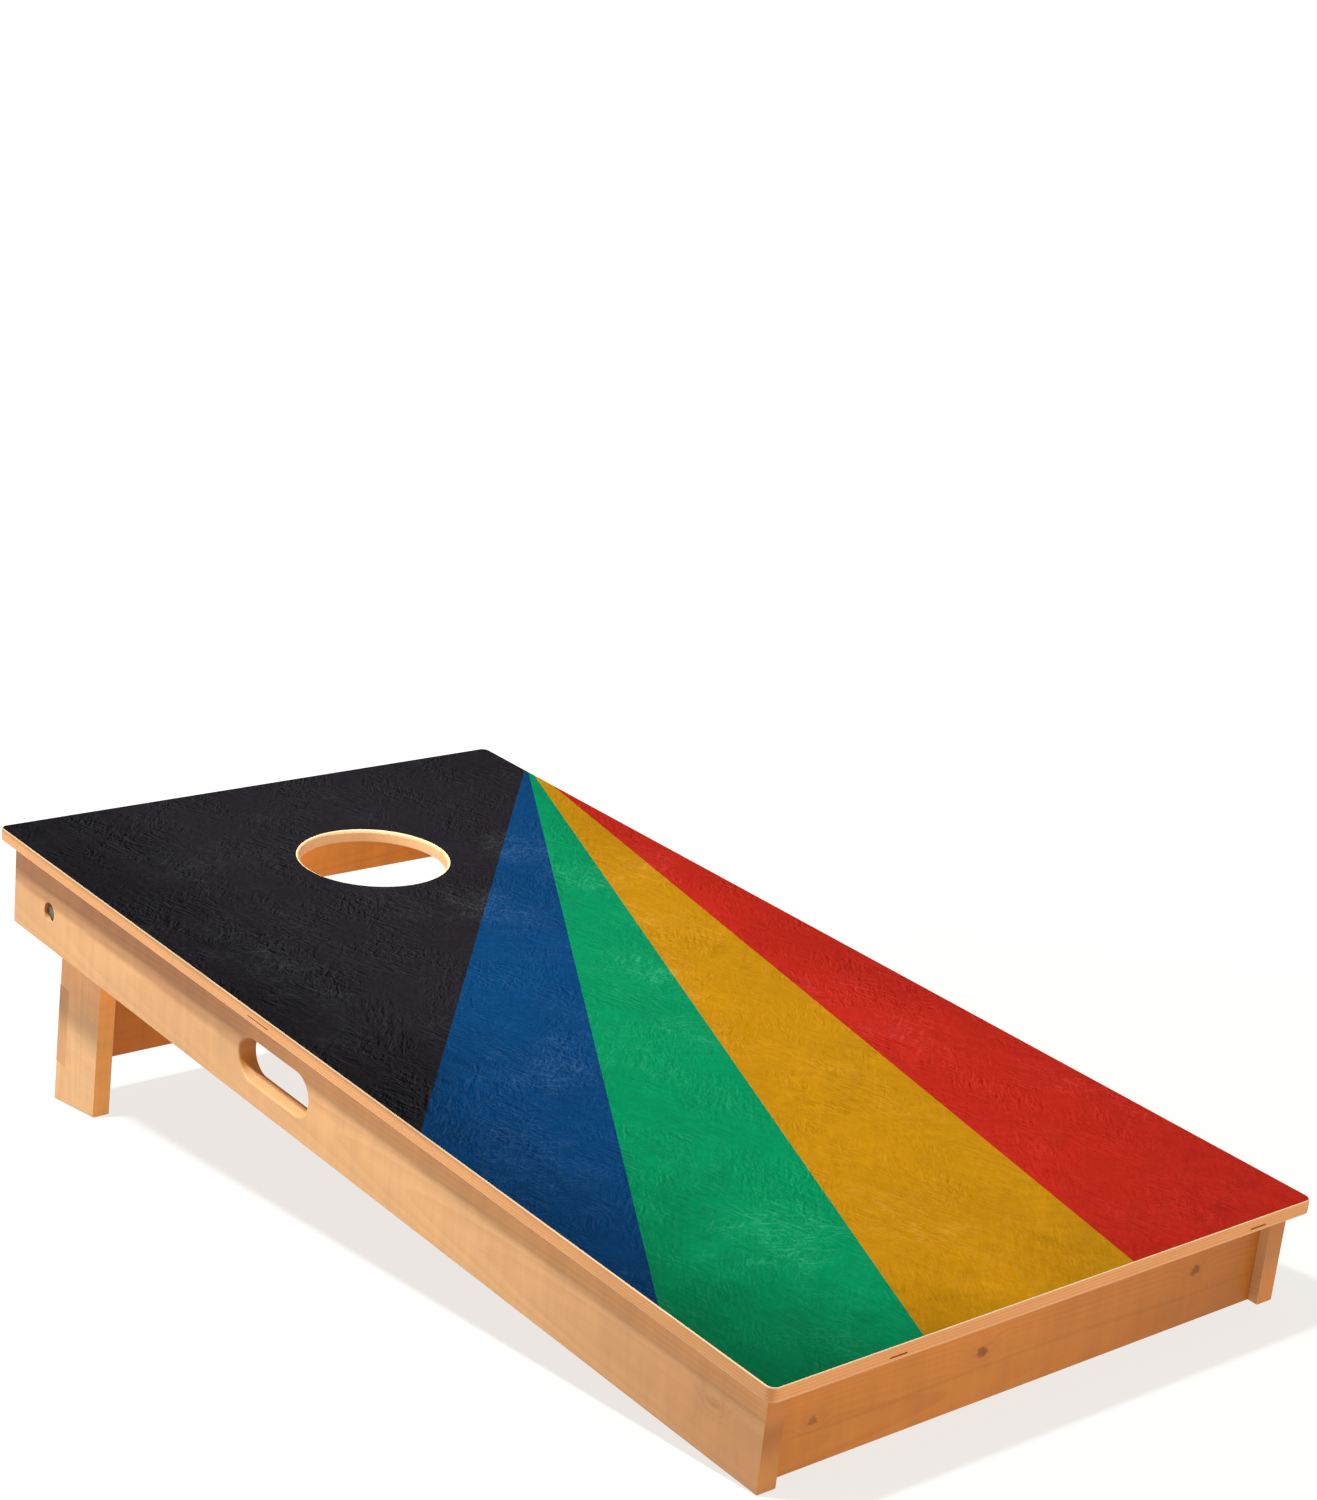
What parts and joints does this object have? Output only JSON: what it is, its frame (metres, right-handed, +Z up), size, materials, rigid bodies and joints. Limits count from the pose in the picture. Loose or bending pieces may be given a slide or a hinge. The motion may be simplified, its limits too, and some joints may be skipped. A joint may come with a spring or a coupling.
{
  "type": "cornhole board",
  "caption": "Sloping bag-toss game board with a round bag hole, a wooden frame with hand slots, and hinged back legs that fold under it.",
  "frame": {"origin": "on the ground, under the middle of the standing board: centre of the bounding box's bottom face", "axes": "+Z up from the ground, +Y along the board from its low front end to its high back end with the bag hole, +X across the board to the right seen from the front"},
  "size_m": [0.6096, 1.2142, 0.3048],
  "materials": {
    "plywood": "clear-coated birch plywood, bare at its edges and underneath",
    "printed_vinyl": "satin laminated print: chalky charcoal with blue, green, amber and red rays",
    "frame_pine": "satin clear-coated pine",
    "leg_pine": "satin clear-coated pine",
    "zinc_steel": "zinc plated",
    "screw_steel": "yellow zinc plated",
    "nylon": "natural nylon"
  },
  "bodies": {
    "board": {"deck_panel": "plywood", "deck_wrap": "printed_vinyl", "left_side_rail": "frame_pine", "right_side_rail": "frame_pine", "front_rail": "frame_pine", "back_rail": "frame_pine", "middle_brace": "frame_pine", "left_pivot_block": "frame_pine", "right_pivot_block": "frame_pine", "left_pivot_bolt": "zinc_steel", "left_head_washer": "zinc_steel", "left_leg_washer": "zinc_steel", "left_nut_washer": "zinc_steel", "left_pivot_nut": "zinc_steel", "right_pivot_bolt": "zinc_steel", "right_head_washer": "zinc_steel", "right_leg_washer": "zinc_steel", "right_nut_washer": "zinc_steel", "right_pivot_nut": "zinc_steel", "deck_screws": "screw_steel", "front_rail_screws": "screw_steel", "middle_brace_screws": "screw_steel", "back_rail_screws": "screw_steel", "pivot_block_screws": "screw_steel", "left_nut_ring": "nylon", "right_nut_ring": "nylon"},
    "legs": {"left_leg": "leg_pine", "right_leg": "leg_pine", "leg_brace": "leg_pine", "leg_brace_screws": "screw_steel"}
  },
  "joints": [
    {"name": "legs_fold", "type": "hinge", "parent": "board", "child": "legs", "pos_m": [0, 0.51646, 0.22745], "axis": [-1, 0, 0], "range_deg": [0, 92.2]}
  ]
}
